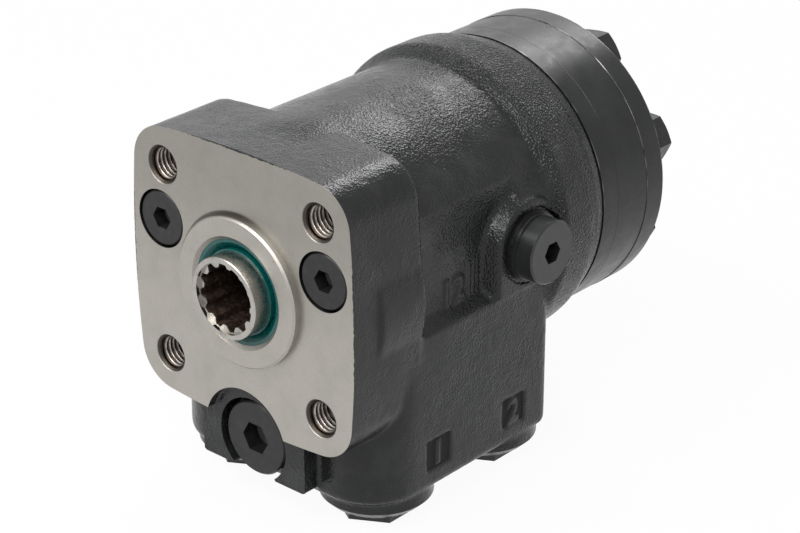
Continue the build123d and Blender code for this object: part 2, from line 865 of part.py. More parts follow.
def cover_bolt(index):
    x, z = on_circle(lobe_circle_r, lobe_angle(index))
    seat = cover_end + bolt_washer_thickness
    turn = bolt_head_turn + index * bolt_head_turn_step
    head = along_y(hexagon(bolt_head_af), seat, seat + bolt_head_height)
    corner_r = bolt_head_af / math.sqrt(3)
    dome = cone(corner_r + bolt_head_dome, corner_r - bolt_head_dome,
                seat + bolt_head_height - bolt_head_dome, seat + bolt_head_height)
    dome += disc(corner_r + past, seat, seat + bolt_head_height - bolt_head_dome)
    shank = disc(bolt_r, bolt_end_y, seat)
    return Pos(x, 0, z) * (turned(head & dome, turn) + shank)


def cover_bolts():
    return Compound(children=[cover_bolt(index) for index in range(ring_lobes)])


def bolt_washers():
    washers = []
    for index in range(ring_lobes):
        x, z = on_circle(lobe_circle_r, lobe_angle(index))
        washers.append(ring(bolt_washer_r, bolt_r + slip, cover_end,
                            cover_end + bolt_washer_thickness, x, z))
    return Compound(children=washers)


def socket(across_flats, y0, depth, x=0.0, z=0.0):
    """A hexagon socket with a drilled bottom, open at y0."""
    hole = along_y(Pos(x, z) * hexagon(across_flats), y0 - past, y0 + depth)
    return hole + drill_point(across_flats / 2, y0 + depth, x, z)


def relief_plug():
    head = disc(relief_head_r, relief_head_y, relief_seal_y(), 0, relief_z)
    head = chamfer(front_edges(head), relief_head_chamfer)
    body = head + disc(relief_thread_r, relief_seal_y(), relief_thread_end - past, 0, relief_z)
    body -= socket(relief_socket, relief_head_y, relief_socket_depth, 0, relief_z)
    return body - disc(relief_pocket_r, relief_pocket_y, relief_thread_end, 0, relief_z)


def relief_seal_y():
    return relief_head_seat - plug_seal_thickness


def relief_plug_seal():
    return ring(relief_head_r, relief_thread_r + slip, relief_seal_y(), relief_head_seat, 0,
                relief_z)


def relief_spring():
    return coil_spring(relief_spring_r, relief_wire_r, relief_pocket_y, relief_disc_y,
                       relief_turns, 0, relief_z)


def relief_poppet():
    """Spring disc, stem and a 45 degree cone that closes on the seat's edge."""
    edge = relief_seat_y - contact
    back = edge - (relief_cone_r - relief_seat_bore_r)
    tip = edge + relief_seat_bore_r - relief_cone_tip_r
    body = disc(relief_disc_r, relief_disc_y, relief_disc_y + relief_disc_thickness, 0, relief_z)
    body += disc(relief_stem_r, relief_disc_y, back, 0, relief_z)
    return body + cone(relief_cone_r, relief_cone_tip_r, back, tip, 0, relief_z)


def relief_seat():
    return ring(relief_chamber_r, relief_seat_bore_r, relief_seat_y,
                relief_seat_y + relief_seat_length, 0, relief_z)


def shock_plug(side):
    x = side * shock_x
    seal_y = shock_head_seat - plug_seal_thickness
    body = disc(shock_head_r, shock_head_y, seal_y, x, shock_z)
    body = chamfer(front_edges(body), relief_head_chamfer)
    body += disc(shock_thread_r, seal_y, shock_thread_end - past, x, shock_z)
    body -= socket(shock_socket, shock_head_y, shock_socket_depth, x, shock_z)
    return body - disc(shock_pocket_r, shock_pocket_y, shock_thread_end, x, shock_z)


def shock_seals():
    seal_y = shock_head_seat - plug_seal_thickness
    return Compound(children=[ring(shock_head_r, shock_thread_r + slip, seal_y, shock_head_seat,
                                   side * shock_x, shock_z) for side in (-1, 1)])


def shock_ball_y():
    rise = math.sqrt(shock_ball_r ** 2 - shock_seat_bore_r ** 2)
    return shock_seat_y - rise - contact


def shock_ball(side):
    return Pos(side * shock_x, shock_ball_y(), shock_z) * Sphere(shock_ball_r)


def shock_spring(side):
    """The spring's last coil sits round the ball's front."""
    reach = shock_ball_y() - shock_ball_r
    return coil_spring(shock_spring_r, shock_wire_r, shock_pocket_y, reach, shock_turns,
                       side * shock_x, shock_z)


def suction_ball(index):
    x, z = on_circle(lobe_circle_r, lobe_angle(index))
    return Pos(x, suction_ball_y(), z) * Sphere(suction_ball_r)


def suction_ball_y():
    return suction_seat_y + math.sqrt(suction_ball_r ** 2 - suction_seat_r ** 2) + contact


def suction_pins():
    pins = []
    for index in suction_bolts:
        x, z = on_circle(lobe_circle_r, lobe_angle(index))
        pins.append(disc(suction_pin_r, suction_ball_y() + suction_ball_r + suction_travel,
                         bolt_end_y, x, z))
    return Compound(children=pins)


def check_bush():
    x, y = port_places()[0]
    return along_z(Pos(x, y) * (Circle(check_bush_r) - Circle(check_bush_bore_r)),
                   check_bush_bottom, check_bush_top)


def check_ball():
    x, y = port_places()[0]
    rise = math.sqrt(check_ball_r ** 2 - check_bush_bore_r ** 2)
    return Pos(x, y, check_bush_top + rise + contact) * Sphere(check_ball_r)


def load_sense_washer():
    place = Pos(sense_y, sense_z)
    return along_x(place * (Circle(sense_washer_r) - Circle(sense_thread_r + slip)),
                   sense_seat_x(), sense_seat_x() + sense_washer_thickness)


def load_sense_plug():
    place = Pos(sense_y, sense_z)
    head_x = sense_seat_x() + sense_washer_thickness
    end_x = head_x + sense_collar_height + sense_head_height
    head = along_x(place * Circle(sense_head_r), head_x, end_x)
    head = chamfer(head.edges().group_by(Axis.X)[-1], sense_head_chamfer)
    head += along_x(place * Circle(sense_collar_r), head_x, head_x + sense_collar_height)
    body = head + along_x(place * Circle(sense_thread_r), sense_thread_x + past, head_x)
    return body - along_x(place * hexagon(sense_socket), end_x - sense_socket_depth, end_x + past)


def port_plug(x, y):
    """A plastic plug: hexagon head, threaded body, and a core left open above."""
    seat = port_boss_z
    bottom = seat - plug_head_height
    top = seat + plug_thread_length
    body = along_z(Pos(x, y) * hexagon(plug_af, 30), bottom, seat)
    body += along_z(Pos(x, y) * Circle(port_hole_r - slip), seat, top)
    body -= along_z(Pos(x, y) * Circle(plug_core_r), top - plug_core_depth, top + past)
    return body - along_z(Pos(x, y) * Circle(plug_dimple_r), bottom - past,
                          bottom + plug_dimple_depth)


def port_plugs():
    return Compound(children=[port_plug(x, y) for x, y in port_places()])


nodes = {
    "housing": housing(),
    "dust_seal": dust_seal(),
    "shaft_seal": shaft_seal(),
    "thrust_race_front": thrust_race(bearing_y),
    "thrust_race_rear": thrust_race(rear_race_y),
    "thrust_cage": thrust_cage(),
    "thrust_needles": thrust_needles(),
    "spool": spool(),
    "sleeve": sleeve(),
    "centering_springs": centering_springs(),
    "spring_retainer": spring_retainer(),
    "cross_pin": cross_pin(),
    "cardan_shaft": cardan_shaft(),
    "cardan_spacer": cardan_spacer(),
    "rotor": rotor(),
    "gear_ring": gear_ring(),
    "distributor_plate": distributor_plate(),
    "end_cover": end_cover(),
    "cover_bolts": cover_bolts(),
    "bolt_washers": bolt_washers(),
    "housing_o_ring": o_ring(plate_y - o_ring_groove_depth / 2),
    "plate_o_ring": o_ring(ring_y - o_ring_groove_depth / 2),
    "cover_o_ring": o_ring(cover_y + o_ring_groove_depth / 2),
    "relief_plug": relief_plug(),
    "relief_plug_seal": relief_plug_seal(),
    "relief_spring": relief_spring(),
    "relief_poppet": relief_poppet(),
    "relief_seat": relief_seat(),
    "shock_plug_left": shock_plug(-1),
    "shock_plug_right": shock_plug(1),
    "shock_seals": shock_seals(),
    "shock_spring_left": shock_spring(-1),
    "shock_spring_right": shock_spring(1),
    "shock_ball_left": shock_ball(-1),
    "shock_ball_right": shock_ball(1),
    "suction_ball_right": suction_ball(suction_bolts[0]),
    "suction_ball_left": suction_ball(suction_bolts[1]),
    "suction_pins": suction_pins(),
    "check_bush": check_bush(),
    "check_ball": check_ball(),
    "load_sense_washer": load_sense_washer(),
    "load_sense_plug": load_sense_plug(),
    "port_plugs": port_plugs(),
}

os.makedirs("parts", exist_ok=True)
for name, shape in nodes.items():
    export_step(shape, f"parts/{name}.step")
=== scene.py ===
import json
import math

import bmesh
import bpy
import numpy as np
from mathutils import Matrix, Vector, kdtree, noise
from mathutils.bvhtree import BVHTree


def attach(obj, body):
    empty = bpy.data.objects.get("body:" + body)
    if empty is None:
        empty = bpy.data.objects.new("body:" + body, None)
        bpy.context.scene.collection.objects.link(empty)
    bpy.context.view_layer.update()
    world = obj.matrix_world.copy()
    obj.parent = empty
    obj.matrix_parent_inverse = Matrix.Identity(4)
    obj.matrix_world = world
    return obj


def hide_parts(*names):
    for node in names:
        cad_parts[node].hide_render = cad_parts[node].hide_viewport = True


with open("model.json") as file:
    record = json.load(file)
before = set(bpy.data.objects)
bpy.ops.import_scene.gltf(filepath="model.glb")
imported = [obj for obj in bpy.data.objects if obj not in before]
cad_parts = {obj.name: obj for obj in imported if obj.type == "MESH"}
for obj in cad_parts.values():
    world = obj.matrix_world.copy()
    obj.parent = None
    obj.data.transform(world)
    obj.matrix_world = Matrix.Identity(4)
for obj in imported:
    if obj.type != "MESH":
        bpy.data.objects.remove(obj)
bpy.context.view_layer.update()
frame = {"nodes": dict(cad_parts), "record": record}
nodes = frame["nodes"]

MM = 0.001

# Places and sizes that the looks share with the CAD, in millimetres
PILOT_R = 22.2
COLUMN_HALF = 82.55 / 2 / math.sqrt(2)
COLUMN_HOLES = [(x, z) for x in (-COLUMN_HALF, COLUMN_HALF) for z in (-COLUMN_HALF, COLUMN_HALF)]
SHOCKS = [(-30.7, 12.5), (30.7, 12.5)]
RELIEF = (0.0, -47.7)
SENSE = (73.6, 1.0)
SENSE_FACE_X = 42.3
PORTS = [(x, y) for x in (-24.2, 24.2) for y in (28.0, 74.5)]
FLANGE_HALF = 41.8
FLANGE_CORNER_R = 12.0
FLANGE_DEPTH = 28.0
BARREL_START = 10.0
BOW = 649.0            # twice the radius of the flange's bowed sides
REAR_FACE_Y = 105.3
SPOOL_MOUTH_R = 10.6
SPOOL_MOUTH_FLOOR = -5.4
BLOCK_PANELS = [(35.5, -50.0, "1"), (68.7, -50.4, "2")]
BLOCK_PANEL_X = 40.5
BLOCK_PANEL_SIZE = (10.4, 10.0)
JOINTS = [105.5, 126.3, 133.75]
FLOOR_Z = -70.0


# Camera, at the photograph's viewing angle

CAMERA_AZIMUTH = math.radians(41.387)
CAMERA_ELEVATION = math.radians(25.609)
CAMERA_DISTANCE = 730.497
CAMERA_TARGET = Vector((0.0, 60.0, 0.0))
CAMERA_RIGHT = 3.7
CAMERA_UP = -12.781
CAMERA_LENS = 113.8


def make_camera():
    sin_a, cos_a = math.sin(CAMERA_AZIMUTH), math.cos(CAMERA_AZIMUTH)
    sin_e, cos_e = math.sin(CAMERA_ELEVATION), math.cos(CAMERA_ELEVATION)
    right = Vector((cos_a, sin_a, 0))
    back = Vector((sin_a * cos_e, -cos_a * cos_e, sin_e))
    up = back.cross(right)
    place = CAMERA_TARGET + right * CAMERA_RIGHT + up * CAMERA_UP + back * CAMERA_DISTANCE
    data = bpy.data.cameras.new("camera")
    data.lens = CAMERA_LENS
    data.sensor_width = 36
    data.clip_start = 0.01
    camera = bpy.data.objects.new("camera", data)
    bpy.context.scene.collection.objects.link(camera)
    turn = Matrix((right, up, back)).transposed().to_4x4()
    camera.matrix_world = Matrix.Translation(place * MM) @ turn
    bpy.context.scene.camera = camera


# Light, floor and background, in metres

AMBIENT = 0.34
LAMPS = [
    # name, place, target, width, height, watts
    ("back", (-0.25, 0.90, 0.85), (0, 0.07, 0), 0.50, 0.30, 4.2),
    ("sheen", (-0.80, 0.95, 0.58), (0, 0.06, 0), 1.00, 0.60, 1.5),
    ("top", (0.00, -0.55, 0.88), (0, 0.06, 0), 1.00, 0.40, 9.0),
    ("front", (-0.60, -0.85, 0.50), (0, 0, 0), 0.60, 0.60, 2.1),
    ("key", (0.62, -0.78, 0.78), (0, 0.05, 0), 0.30, 0.30, 2.6),
]
FLOOR_HALF = 3.0
FLOOR_GREY = 0.82
FLOOR_GLOW = 0.95      # how much of the floor is plain white where it is seen


def make_lights():
    for name, place, target, width, height, power in LAMPS:
        data = bpy.data.lights.new(name, "AREA")
        data.shape = "RECTANGLE"
        data.size = width
        data.size_y = height
        data.energy = power
        lamp = bpy.data.objects.new(name, data)
        bpy.context.scene.collection.objects.link(lamp)
        lamp.location = place
        lamp.rotation_euler = (Vector(target) - Vector(place)).to_track_quat("-Z", "Y").to_euler()
    bpy.context.scene.view_settings.view_transform = "Standard"


def seen_directly(tree):
    """1 for rays from the camera and for the ones that it sees in metal or glass."""
    path = tree.nodes.new("ShaderNodeLightPath")
    seen = path.outputs["Is Camera Ray"]
    for ray in ("Is Glossy Ray", "Is Transmission Ray"):
        either = tree.nodes.new("ShaderNodeMath")
        either.operation = "MAXIMUM"
        tree.links.new(seen, either.inputs[0])
        tree.links.new(path.outputs[ray], either.inputs[1])
        seen = either.outputs[0]
    return seen


def make_world():
    """White where it is seen, directly or in a reflection, and softer as a light."""
    world = bpy.data.worlds.new("studio")
    bpy.context.scene.world = world
    world.use_nodes = True
    tree = world.node_tree
    tree.nodes.clear()
    strength = tree.nodes.new("ShaderNodeMapRange")
    strength.inputs["To Min"].default_value = AMBIENT
    strength.inputs["To Max"].default_value = 1.0
    tree.links.new(seen_directly(tree), strength.inputs["Value"])
    white = tree.nodes.new("ShaderNodeBackground")
    tree.links.new(strength.outputs["Result"], white.inputs["Strength"])
    out = tree.nodes.new("ShaderNodeOutputWorld")
    tree.links.new(white.outputs[0], out.inputs[0])


def floor_material():
    """Pale grey that takes the shadow, and nearly white where it is seen."""
    material = bpy.data.materials.new("floor")
    material.use_nodes = True
    tree = material.node_tree
    shader = tree.nodes["Principled BSDF"]
    shader.inputs["Base Color"].default_value = (FLOOR_GREY, FLOOR_GREY, FLOOR_GREY, 1)
    shader.inputs["Roughness"].default_value = 0.9
    shader.inputs["Specular IOR Level"].default_value = 0.1
    glow = tree.nodes.new("ShaderNodeEmission")
    glow.inputs["Strength"].default_value = 1.0
    share = tree.nodes.new("ShaderNodeMath")
    share.operation = "MULTIPLY"
    share.inputs[1].default_value = FLOOR_GLOW
    tree.links.new(seen_directly(tree), share.inputs[0])
    mix = tree.nodes.new("ShaderNodeMixShader")
    tree.links.new(share.outputs[0], mix.inputs[0])
    tree.links.new(shader.outputs[0], mix.inputs[1])
    tree.links.new(glow.outputs[0], mix.inputs[2])
    tree.links.new(mix.outputs[0], tree.nodes["Material Output"].inputs["Surface"])
    return material


def make_floor():
    half = FLOOR_HALF
    mesh = bpy.data.meshes.new("floor")
    corners = [(-half, -half, 0), (half, -half, 0), (half, half, 0), (-half, half, 0)]
    mesh.from_pydata(corners, [], [(0, 1, 2, 3)])
    floor = bpy.data.objects.new("floor", mesh)
    bpy.context.scene.collection.objects.link(floor)
    floor.location.z = FLOOR_Z * MM
    floor.data.materials.append(floor_material())


# Materials

class Finish:
    """A node material, with its texture coordinates in millimetres of the frame."""

    def __init__(self, name, base, roughness, metallic=0.0, specular=0.5):
        self.material = bpy.data.materials.new(name)
        self.material.use_nodes = True
        self.tree = self.material.node_tree
        self.shader = self.tree.nodes["Principled BSDF"]
        self.set("Base Color", (*base, 1))
        self.set("Roughness", roughness)
        self.set("Metallic", metallic)
        self.set("Specular IOR Level", specular)
        coordinates = self.tree.nodes.new("ShaderNodeTexCoord")
        scale = self.node("ShaderNodeVectorMath", operation="SCALE")
        self.join(coordinates.outputs["Object"], scale.inputs[0])
        scale.inputs["Scale"].default_value = 1 / MM
        self.point = scale.outputs[0]

    def set(self, socket, value):
        self.shader.inputs[socket].default_value = value

    def node(self, kind, **settings):
        made = self.tree.nodes.new(kind)
        for key, value in settings.items():
            setattr(made, key, value)
        return made

    def join(self, source, target):
        if isinstance(source, (int, float, tuple)):
            target.default_value = source
        else:
            self.tree.links.new(source, target)

    def noise(self, size, detail=2.0, roughness=0.5, stretch=None):
        """Noise with lumps of about the given size in millimetres."""
        made = self.node("ShaderNodeTexNoise")
        made.inputs["Scale"].default_value = 1 / size
        made.inputs["Detail"].default_value = detail
        made.inputs["Roughness"].default_value = roughness
        self.join(self.stretched(stretch), made.inputs["Vector"])
        return made.outputs["Fac"]

    def cells(self, size, feature="F1"):
        made = self.node("ShaderNodeTexVoronoi", feature=feature)
        made.inputs["Scale"].default_value = 1 / size
        self.join(self.point, made.inputs["Vector"])
        return made.outputs["Distance"]

    def stretched(self, stretch):
        if stretch is None:
            return self.point
        made = self.node("ShaderNodeVectorMath", operation="MULTIPLY")
        self.join(self.point, made.inputs[0])
        made.inputs[1].default_value = stretch
        return made.outputs[0]

    def math(self, operation, a, b=0.0):
        made = self.node("ShaderNodeMath", operation=operation)
        self.join(a, made.inputs[0])
        self.join(b, made.inputs[1])
        return made.outputs[0]

    def times(self, a, b):
        return self.math("MULTIPLY", a, b)

    def most(self, a, b):
        return self.math("MAXIMUM", a, b)

    def away(self, value, place):
        """How far the value is from the place."""
        return self.math("ABSOLUTE", self.math("SUBTRACT", value, place))

    def ramp(self, value, low, high, to_low=0.0, to_high=1.0):
        """Goes smoothly from to_low at low to to_high at high."""
        made = self.node("ShaderNodeMapRange", interpolation_type="SMOOTHSTEP")
        for name, number in (("From Min", low), ("From Max", high), ("To Min", to_low),
                             ("To Max", to_high)):
            made.inputs[name].default_value = number
        self.join(value, made.inputs["Value"])
        return made.outputs["Result"]

    def fall(self, value, low, high):
        """1 up to low, and 0 from high."""
        return self.ramp(value, low, high, 1.0, 0.0)

    def axes(self):
        made = self.node("ShaderNodeSeparateXYZ")
        self.join(self.point, made.inputs[0])
        return made.outputs[0], made.outputs[1], made.outputs[2]

    def distance(self, a, b):
        """The length of the flat vector (a, b)."""
        return self.math("SQRT", self.math("ADD", self.times(a, a), self.times(b, b)))

    def mix(self, share, a, b):
        made = self.node("ShaderNodeMix", data_type="RGBA")
        self.join(share, made.inputs[0])
        self.join(a if not isinstance(a, tuple) else (*a, 1), made.inputs[6])
        self.join(b if not isinstance(b, tuple) else (*b, 1), made.inputs[7])
        return made.outputs[2]

    def blend(self, share, a, b):
        made = self.node("ShaderNodeMix", data_type="FLOAT")
        self.join(share, made.inputs[0])
        self.join(a, made.inputs[2])
        self.join(b, made.inputs[3])
        return made.outputs[0]

    def mixed_normal(self, share, a, b):
        made = self.node("ShaderNodeMix", data_type="VECTOR")
        self.join(share, made.inputs[0])
        self.join(a, made.inputs[4])
        self.join(b, made.inputs[5])
        return made.outputs[1]

    def bump(self, height, depth, normal=None, strength=1.0):
        """Bumps of the given depth in millimetres."""
        made = self.node("ShaderNodeBump")
        self.join(strength, made.inputs["Strength"])
        made.inputs["Distance"].default_value = depth * MM
        self.join(height, made.inputs["Height"])
        if normal is not None:
            self.join(normal, made.inputs["Normal"])
        return made.outputs["Normal"]

    def color(self, value):
        self.join(value, self.shader.inputs["Base Color"])

    def rough(self, value):
        self.join(value, self.shader.inputs["Roughness"])

    def metal(self, value):
        self.join(value, self.shader.inputs["Metallic"])

    def normal(self, value):
        self.join(value, self.shader.inputs["Normal"])


PAINT = (0.0090, 0.0098, 0.0100)
PAINT_DUST = (0.020, 0.021, 0.021)
PAINT_SPECULAR = 0.34
# rubbed paint, which also stands in for a painted highlight on the upper joints and rim
RUBBED_GLINT = (0.22, 0.215, 0.21)
BARE_IRON = (0.47, 0.448, 0.41)
BARE_DARK = (0.17, 0.16, 0.14)
# painted shade, for the column holes and the pilot's upper foot
RECESS_SHADE = (0.07, 0.062, 0.052)
PANEL_SHADE = (0.004, 0.004, 0.004)
# painted shade, for the sunk floors of the number panels
RUST = (0.13, 0.055, 0.03)
STEEL = (0.46, 0.44, 0.41)
STAINED_STEEL = (0.22, 0.19, 0.16)
OXIDE = (0.011, 0.011, 0.0112)
OIL = (0.035, 0.024, 0.018)
# oil in the thread roots, and painted shade deeper in the holes
THREAD_OIL_AND_SHADE = (0.05, 0.036, 0.027)

SEAL_SEAT_R = 16.2     # bare iron inside this radius, back to the seat's depth
SEAL_SEAT_DEPTH = 3.0
HOLE_WALL_R = 5.85     # from the column holes' walls out, the finish is the face's
HOLE_DEPTH = 20.5
SHOULDER_BAND = (80.0, 87.0, 99.0, 102.0)   # the coarse band before the shoulder, along y


def times_color(color, factor):
    return tuple(c * factor for c in color)


def face_edge(f, x, z):
    """How far a point of the mounting face lies outside the flange's outline."""
    inner = FLANGE_HALF - FLANGE_CORNER_R
    dx = f.math("SUBTRACT", f.math("ABSOLUTE", x), inner)
    dz = f.math("SUBTRACT", f.math("ABSOLUTE", z), inner)
    corner = f.distance(f.most(dx, 0.0), f.most(dz, 0.0))
    return f.math("SUBTRACT", corner, FLANGE_CORNER_R)


def panel_floors(f, x, y, z):
    """1 on the sunk floors of the port block's two number panels."""
    half_y, half_z = (size / 2 for size in BLOCK_PANEL_SIZE)
    found = 0.0
    for py, pz, _ in BLOCK_PANELS:
        off_y = f.math("SUBTRACT", f.away(y, py), half_y)
        off_z = f.math("SUBTRACT", f.away(z, pz), half_z)
        found = f.most(found, f.fall(f.most(off_y, off_z), 0.0, 0.3))
    low = f.fall(x, BLOCK_PANEL_X + 0.2, BLOCK_PANEL_X + 0.5)
    low = f.times(low, f.ramp(x, BLOCK_PANEL_X - 1.0, BLOCK_PANEL_X - 0.6))
    return f.times(found, low)


def column_hole_share(f, x, z):
    """1 inside the four column holes."""
    from_hole_x = f.math("SUBTRACT", f.math("ABSOLUTE", x), COLUMN_HALF)
    from_hole_z = f.math("SUBTRACT", f.math("ABSOLUTE", z), COLUMN_HALF)
    return f.fall(f.distance(from_hole_x, from_hole_z), HOLE_WALL_R, HOLE_WALL_R + 0.1)


def bare_share(f, x, y, z, in_hole):
    """1 on bare iron: the mounting face inside a ragged lap of paint, the seat and the holes."""
    ragged = f.times(f.math("SUBTRACT", f.noise(1.4, 4.0), 0.5), 1.1)
    lap = f.math("ADD", ragged, f.ramp(z, 0.0, 20.0, 0.25, 0.62))
    rim = f.math("ADD", face_edge(f, x, z), lap)
    face = f.times(f.fall(y, 0.03, 0.09), f.fall(rim, -0.08, 0.08))
    inside = f.fall(f.distance(x, z), SEAL_SEAT_R, SEAL_SEAT_R + 0.4)
    seat = f.times(inside, f.fall(y, SEAL_SEAT_DEPTH, SEAL_SEAT_DEPTH + 0.2))
    holes = f.times(in_hole, f.fall(y, HOLE_DEPTH, HOLE_DEPTH + 0.5))
    return f.most(f.most(face, seat), holes)


def iron_color(f, x, y, z, in_hole):
    """Milled iron: streaks, stains, pits and rust, with painted shade towards the top, at the pilot's
    upper foot and in the column holes.
    """
    streaks = f.noise(0.5, 3.0, 0.6, (1.0, 1.0, 0.25))
    iron = f.mix(f.ramp(streaks, 0.3, 0.75), BARE_IRON, times_color(BARE_IRON, 0.92))
    iron = f.mix(f.ramp(f.noise(0.6, 4.0, 0.7), 0.35, 0.7), iron, times_color(BARE_IRON, 0.86))
    iron = f.mix(f.ramp(f.noise(9.0, 5.0, 0.6), 0.40, 0.70), iron, times_color(BARE_IRON, 0.84))
    iron = f.mix(f.ramp(f.noise(0.8, 4.0, 0.7), 0.63, 0.74, 0.0, 0.8), iron, BARE_DARK)
    iron = f.mix(f.ramp(f.noise(4.0, 6.0, 0.75), 0.68, 0.73, 0.0, 0.85), iron, RUST)
    # painted shade: the bare face darkened towards the top, less so on the pilot's face
    shade = f.times(f.ramp(z, -20.0, 38.0, 0.0, 0.45), f.ramp(y, -1.2, -0.4, 0.2, 1.0))
    iron = f.mix(shade, iron, BARE_DARK)
    # painted shade: a dark arc at the upper, -X side of the pilot's foot
    foot = f.away(f.distance(x, z), PILOT_R + 0.4)
    pilot_shade = f.times(f.ramp(foot, 0.2, 0.9, 0.85, 0.0), f.ramp(z, 4.0, 14.0))
    pilot_shade = f.times(pilot_shade, f.fall(x, 0.0, 12.0))
    # painted shade: the column holes darkened from just inside their mouths
    holes = f.times(in_hole, f.ramp(y, 0.02, 0.3))
    return f.mix(f.most(holes, pilot_shade), iron, RECESS_SHADE)


def rubbed_rear_glint(f, x, y, z):
    """1 along the rear rim's upper edge: rubbed paint, with a painted highlight kept to the top."""
    rim = f.times(f.ramp(y, REAR_FACE_Y - 0.35, REAR_FACE_Y - 0.22), f.ramp(f.distance(x, z), 45.6, 45.9))
    worn = f.times(rim, f.ramp(f.noise(5.0, 3.0), 0.40, 0.55, 0.25, 1.0))
    # painted highlight: the rubbed rim is kept to the top, where the light falls
    return f.times(worn, f.ramp(z, -5.0, 15.0))


def cast_normal(f, y):
    """The grain of a sand casting, coarser behind the flange and before the shoulder."""
    peel = f.bump(f.noise(2.2, 2.0), 0.05)
    patches = f.ramp(f.noise(12.0, 2.0), 0.35, 0.65, 0.55, 1.0)
    sandy = f.times(patches, f.ramp(y, 20.0, 50.0, 0.55, 1.0))
    pimples = f.bump(f.cells(0.6, "SMOOTH_F1"), 0.28, peel, sandy)
    start, full, fade, end = SHOULDER_BAND
    concave = f.times(f.ramp(y, start, full), f.fall(y, fade, end))
    coarse = f.bump(f.cells(0.6), 0.26, pimples, concave)
    return f.bump(f.noise(0.5, 2.0, 0.6), 0.11, coarse, sandy)


def cast_finish():
    """Black paint on rough casting, with the machined mounting face left bare."""
    f = Finish("cast_paint", PAINT, 0.3, specular=PAINT_SPECULAR)
    x, y, z = f.axes()
    in_hole = column_hole_share(f, x, z)
    bare = bare_share(f, x, y, z, in_hole)
    rear = rubbed_rear_glint(f, x, y, z)
    sunk = panel_floors(f, x, y, z)
    chips = f.times(f.ramp(f.noise(2.2, 5.0, 0.7), 0.665, 0.69), f.fall(y, 0.6, 1.1))
    paint = f.mix(f.ramp(f.noise(9.0, 3.0), 0.45, 0.75), PAINT, PAINT_DUST)
    paint = f.mix(chips, paint, STEEL)
    # painted shade: the panel floors darkened nearly to black
    paint = f.mix(sunk, paint, PANEL_SHADE)
    iron = iron_color(f, x, y, z, in_hole)
    # the rear rim's rubbed paint with its painted highlight
    f.color(f.mix(rear, f.mix(bare, paint, iron), RUBBED_GLINT))
    f.metal(f.most(f.times(bare, 0.9), f.most(chips, rear)))
    sheen = f.blend(sunk, f.ramp(f.noise(5.0, 3.0), 0.3, 0.7, 0.16, 0.27), 0.7)
    f.rough(f.blend(bare, sheen, f.ramp(f.noise(0.45, 2.0, 0.6), 0.3, 0.7, 0.34, 0.48)))
    milled = f.bump(f.noise(0.35, 3.0), 0.014)
    f.normal(f.mixed_normal(bare, cast_normal(f, y), milled))
    return f.material


def satin_finish(name, specular):
    """Smooth black paint over turned steel, with rubbed paint and a painted highlight along the upper
    joints.
    """
    f = Finish(name, PAINT, 0.3, specular=specular)
    x, y, z = f.axes()
    paint = f.mix(f.ramp(f.noise(14.0, 3.0), 0.4, 0.8), PAINT, PAINT_DUST)
    wear_glint = 0.0
    for joint in JOINTS:
        wear_glint = f.most(wear_glint, f.fall(f.away(y, joint), 0.08, 0.18))
    wear_glint = f.times(wear_glint, f.ramp(f.noise(7.0, 3.0, 0.5), 0.42, 0.60, 0.05, 0.9))
    # painted highlight: the rubbed joints kept to the upper side, where the light falls
    wear_glint = f.times(wear_glint, f.ramp(z, -12.0, 10.0, 0.1, 1.0))
    f.color(f.mix(wear_glint, paint, RUBBED_GLINT))
    f.metal(wear_glint)
    f.rough(f.ramp(f.noise(4.0, 3.0), 0.3, 0.7, 0.26, 0.36))
    turned = f.noise(0.6, 2.0, 0.5, (0.12, 1.0, 0.12))
    f.normal(f.bump(f.noise(1.8, 2.0), 0.02, f.bump(turned, 0.01)))
    return f.material


def oxide_finish():
    """Black oxide on turned steel."""
    f = Finish("black_oxide", OXIDE, 0.34, 0.0, 0.36)
    f.color(f.mix(f.ramp(f.noise(2.5, 4.0), 0.4, 0.8), OXIDE, times_color(OXIDE, 1.9)))
    f.rough(f.ramp(f.noise(1.2, 3.0), 0.3, 0.7, 0.28, 0.4))
    f.normal(f.bump(f.noise(0.5, 3.0), 0.012))
    return f.material


def turned_normal(f):
    """Fine turning marks round the shaft's axis."""
    return f.bump(f.noise(0.4, 2.0, 0.5, (0.15, 1.0, 0.15)), 0.015)


def steel_finish():
    """Turned steel, slightly stained."""
    f = Finish("bright_steel", STEEL, 0.25, 1.0)
    f.color(f.mix(f.ramp(f.noise(3.0, 5.0, 0.6), 0.45, 0.8), STEEL, times_color(STEEL, 0.6)))
    f.rough(f.ramp(f.noise(1.5, 3.0), 0.3, 0.7, 0.2, 0.34))
    f.normal(turned_normal(f))
    return f.material


def spool_finish():
    """Turned steel with old oil in the splined bore."""
    f = Finish("spool_steel", STEEL, 0.25, 1.0)
    x, y, z = f.axes()
    inside = f.fall(f.distance(x, z), SPOOL_MOUTH_R, SPOOL_MOUTH_R + 0.2)
    bore = f.times(inside, f.ramp(y, SPOOL_MOUTH_FLOOR, SPOOL_MOUTH_FLOOR + 0.3))
    bright = f.mix(f.ramp(f.noise(3.0, 5.0, 0.6), 0.45, 0.8), STEEL, times_color(STEEL, 0.65))
    oil = f.mix(f.ramp(f.noise(1.5, 4.0), 0.4, 0.7), OIL, times_color(OIL, 2.5))
    f.color(f.mix(bore, bright, oil))
    f.metal(f.blend(bore, 1.0, 0.35))
    f.rough(f.ramp(f.noise(1.5, 3.0), 0.3, 0.7, 0.22, 0.36))
    f.normal(turned_normal(f))
    return f.material


